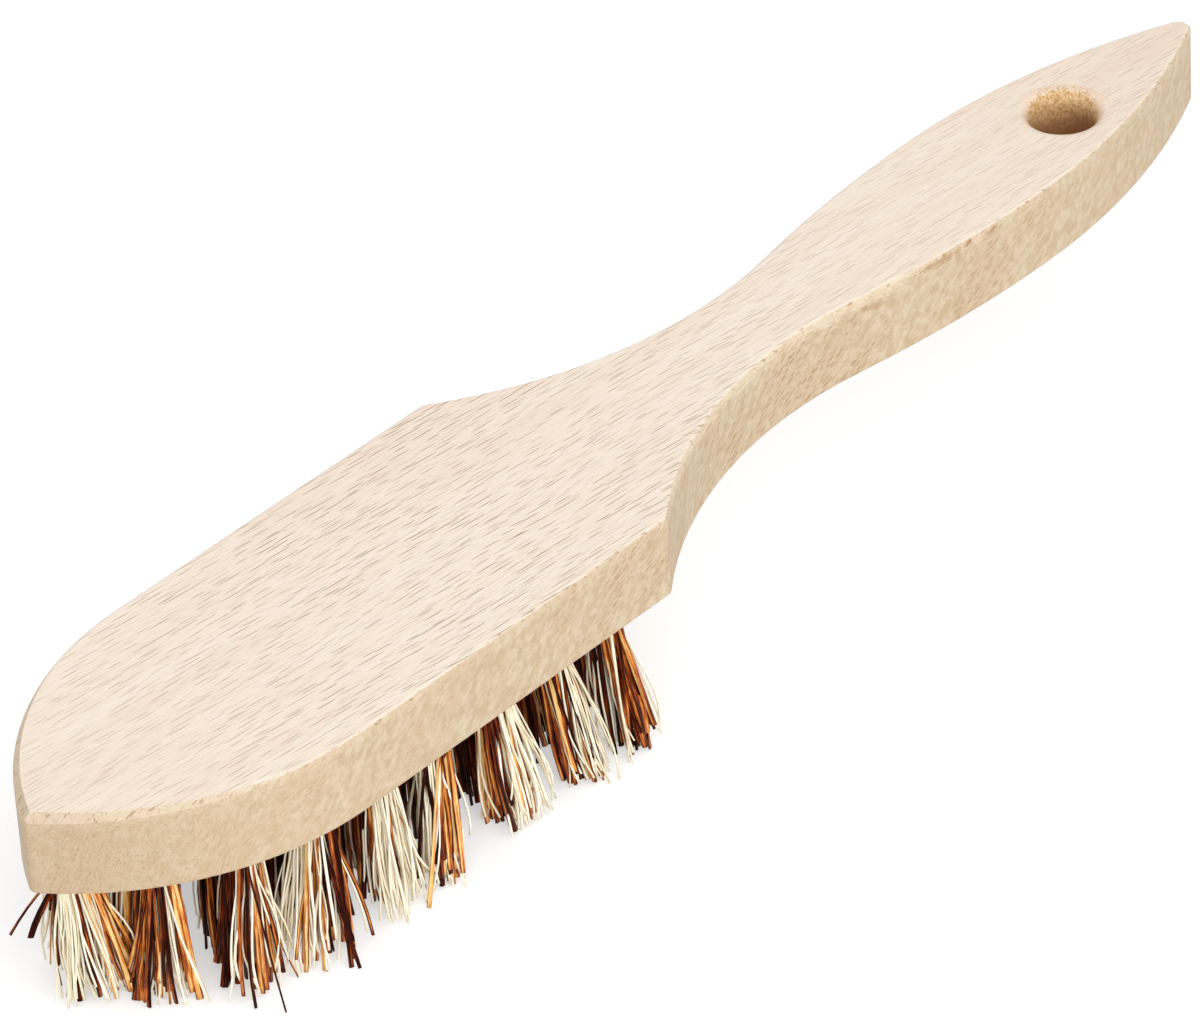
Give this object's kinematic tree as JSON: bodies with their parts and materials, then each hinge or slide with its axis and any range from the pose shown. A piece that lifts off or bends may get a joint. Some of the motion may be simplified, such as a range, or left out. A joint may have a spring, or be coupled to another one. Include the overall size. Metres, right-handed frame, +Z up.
{
  "type": "scrub brush",
  "caption": "Hand scrub brush: flat beech board with a pointed head, narrow neck and grip with a hang hole, and rows of stiff plant-fibre tufts held by wire staples.",
  "frame": {"origin": "on the plane of the trimmed tuft ends, below the middle of the brush's bounding box", "axes": "+X from the nose of the head to the tip of the handle, +Z up out of the board's back"},
  "size_m": [0.28, 0.0532, 0.0398],
  "materials": {
    "beech_wood": "sanded, unvarnished beech",
    "plant_fibre": "stiff mixed brown and cream plant fibre",
    "staple_wire": "drawn steel wire"
  },
  "bodies": {
    "root": {"anchor_staples": "staple_wire", "handle_block": "beech_wood", "tuft_centre_0_mid": "plant_fibre", "tuft_centre_1_mid": "plant_fibre", "tuft_centre_2_mid": "plant_fibre", "tuft_centre_3_mid": "plant_fibre", "tuft_centre_4_mid": "plant_fibre", "tuft_centre_5_mid": "plant_fibre", "tuft_middle_0_mid": "plant_fibre", "tuft_middle_1_left": "plant_fibre", "tuft_middle_1_right": "plant_fibre", "tuft_middle_2_left": "plant_fibre", "tuft_middle_2_right": "plant_fibre", "tuft_middle_3_left": "plant_fibre", "tuft_middle_3_right": "plant_fibre", "tuft_middle_4_left": "plant_fibre", "tuft_middle_4_right": "plant_fibre", "tuft_middle_5_left": "plant_fibre", "tuft_middle_5_right": "plant_fibre", "tuft_middle_6_left": "plant_fibre", "tuft_middle_6_right": "plant_fibre", "tuft_middle_7_left": "plant_fibre", "tuft_middle_7_right": "plant_fibre", "tuft_outer_0_mid": "plant_fibre", "tuft_outer_1_left": "plant_fibre", "tuft_outer_1_right": "plant_fibre", "tuft_outer_2_left": "plant_fibre", "tuft_outer_2_right": "plant_fibre", "tuft_outer_3_left": "plant_fibre", "tuft_outer_3_right": "plant_fibre", "tuft_outer_4_left": "plant_fibre", "tuft_outer_4_right": "plant_fibre", "tuft_outer_5_left": "plant_fibre", "tuft_outer_5_right": "plant_fibre", "tuft_outer_6_left": "plant_fibre", "tuft_outer_6_right": "plant_fibre", "tuft_outer_7_left": "plant_fibre", "tuft_outer_7_right": "plant_fibre", "tuft_outer_8_left": "plant_fibre", "tuft_outer_8_right": "plant_fibre"}
  },
  "joints": []
}
